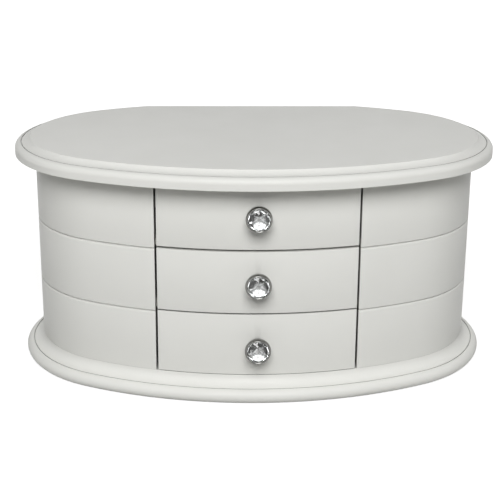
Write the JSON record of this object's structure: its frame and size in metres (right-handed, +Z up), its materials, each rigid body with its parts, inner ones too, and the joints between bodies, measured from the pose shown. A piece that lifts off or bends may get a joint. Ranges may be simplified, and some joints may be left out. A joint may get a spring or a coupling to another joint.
{
  "type": "ballerina jewellery box",
  "caption": "Oval jewellery box with curved drawers on crystal knobs, a hinged mirrored lid and a wind-up music works turning a dancer.",
  "frame": {"origin": "underside of the plinth, at the centre of the oval", "axes": "+Z up, front with the drawers towards -Y, +X to the right seen from the front"},
  "size_m": [0.327, 0.204, 0.1561],
  "materials": {
    "painted_wood": "white satin paint",
    "bare_wood": "thin white paint over board",
    "velvet_lining": "short pile velvet",
    "satin_pad": "padded satin",
    "hinge_brass": "polished",
    "mirror_glass": "silvered glass",
    "chrome": "polished",
    "crystal": "cut and polished",
    "steel": "fine brushed",
    "works_brass": "satin",
    "figure_plastic": "moulded, painted",
    "net": "stiff net"
  },
  "bodies": {
    "case": {"base_plinth": "painted_wood", "side_panel_left": "painted_wood", "side_panel_right": "painted_wood", "back_panel": "painted_wood", "partition_left": "painted_wood", "partition_right": "painted_wood", "dust_board_lower": "bare_wood", "dust_board_upper": "bare_wood", "tray_front_rail": "painted_wood", "ring_tray_floor": "painted_wood", "stage_riser": "painted_wood", "stage_floor": "painted_wood", "side_floor_left": "painted_wood", "side_floor_right": "painted_wood", "ring_tray_lining": "velvet_lining", "stage_lining": "velvet_lining", "side_linings": "velvet_lining", "ring_rolls": "velvet_lining", "hinge_case_leaves": "hinge_brass", "case_screws": "hinge_brass", "hinge_pins": "hinge_brass", "bedplate": "works_brass", "comb": "steel", "works_screws": "steel"},
    "lid": {"lid_board": "painted_wood", "lid_lining": "satin_pad", "mirror": "mirror_glass", "hinge_lid_leaves": "hinge_brass", "lid_screws": "hinge_brass"},
    "drawer_top": {"drawer_front_top": "painted_wood", "drawer_box_top": "bare_wood", "drawer_lining_top": "velvet_lining", "knob_bezel_top": "chrome", "knob_crystal_top": "crystal", "knob_screw_top": "steel"},
    "drawer_middle": {"drawer_front_middle": "painted_wood", "drawer_box_middle": "bare_wood", "drawer_lining_middle": "velvet_lining", "knob_bezel_middle": "chrome", "knob_crystal_middle": "crystal", "knob_screw_middle": "steel"},
    "drawer_bottom": {"drawer_front_bottom": "painted_wood", "drawer_box_bottom": "bare_wood", "drawer_lining_bottom": "velvet_lining", "knob_bezel_bottom": "chrome", "knob_crystal_bottom": "crystal", "knob_screw_bottom": "steel"},
    "barrel": {"spring_barrel": "works_brass"},
    "key": {"winding_arbor": "steel", "winding_key": "hinge_brass"},
    "cylinder": {"tune_cylinder": "works_brass", "cylinder_wheels": "works_brass", "drive_pinion": "works_brass"},
    "governor": {"governor": "steel"},
    "stopper": {"stop_rod": "steel"},
    "spindle": {"spindle": "steel", "crown_wheel": "works_brass"},
    "mast": {"coil_spring": "steel"},
    "dancer": {"dancer": "figure_plastic", "skirt": "net"}
  },
  "joints": [
    {"name": "lid_hinge", "type": "hinge", "parent": "case", "child": "lid", "pos_m": [0, 0.0828, 0.1449], "axis": [-1, 0, 0], "range_deg": [0, 100]},
    {"name": "drawer_top_slide", "type": "slide", "parent": "case", "child": "drawer_top", "axis": [0, -1, 0], "range_m": [0, 0.055]},
    {"name": "drawer_middle_slide", "type": "slide", "parent": "case", "child": "drawer_middle", "axis": [0, -1, 0], "range_m": [0, 0.11]},
    {"name": "drawer_bottom_slide", "type": "slide", "parent": "case", "child": "drawer_bottom", "axis": [0, -1, 0], "range_m": [0, 0.11]},
    {"name": "barrel_spin", "type": "hinge", "parent": "case", "child": "barrel", "pos_m": [0.0137, 0.025, 0.113], "axis": [0, 1, 0], "continuous": true},
    {"name": "key_wind", "type": "hinge", "parent": "case", "child": "key", "pos_m": [0.0137, 0.08, 0.113], "axis": [0, 1, 0], "continuous": true},
    {"name": "cylinder_spin", "type": "hinge", "parent": "case", "child": "cylinder", "pos_m": [0, 0.025, 0.113], "axis": [0, 1, 0], "continuous": true},
    {"name": "governor_spin", "type": "hinge", "parent": "case", "child": "governor", "pos_m": [-0.00926, 0.04475, 0.113], "axis": [0, 0, 1], "continuous": true},
    {"name": "stop_slide", "type": "slide", "parent": "case", "child": "stopper", "axis": [0, 0, 1], "range_m": [0, 0.004]},
    {"name": "spindle_spin", "type": "hinge", "parent": "case", "child": "spindle", "pos_m": [0, 0.058, 0.113], "axis": [0, 0, 1], "continuous": true},
    {"name": "dancer_fold", "type": "hinge", "parent": "case", "child": "mast", "pos_m": [0, 0.058, 0.1362], "axis": [-1, 0, 0], "range_deg": [0, 90], "deforming": ["coil_spring"]},
    {"name": "dancer_spin", "type": "hinge", "parent": "mast", "child": "dancer", "pos_m": [0, 0.058, 0.1362], "axis": [0, -1, 0], "continuous": true}
  ],
  "couplings": [
    {"joint": "cylinder_spin", "follows": "barrel_spin", "ratio": -1},
    {"joint": "governor_spin", "follows": "barrel_spin", "ratio": -30},
    {"joint": "spindle_spin", "follows": "barrel_spin", "ratio": -0.33333},
    {"joint": "dancer_spin", "follows": "barrel_spin", "ratio": -0.33333},
    {"joint": "dancer_fold", "follows": "lid_hinge", "ratio": 0.9},
    {"joint": "stop_slide", "follows": "lid_hinge", "m_per_rad": 0.00229}
  ]
}
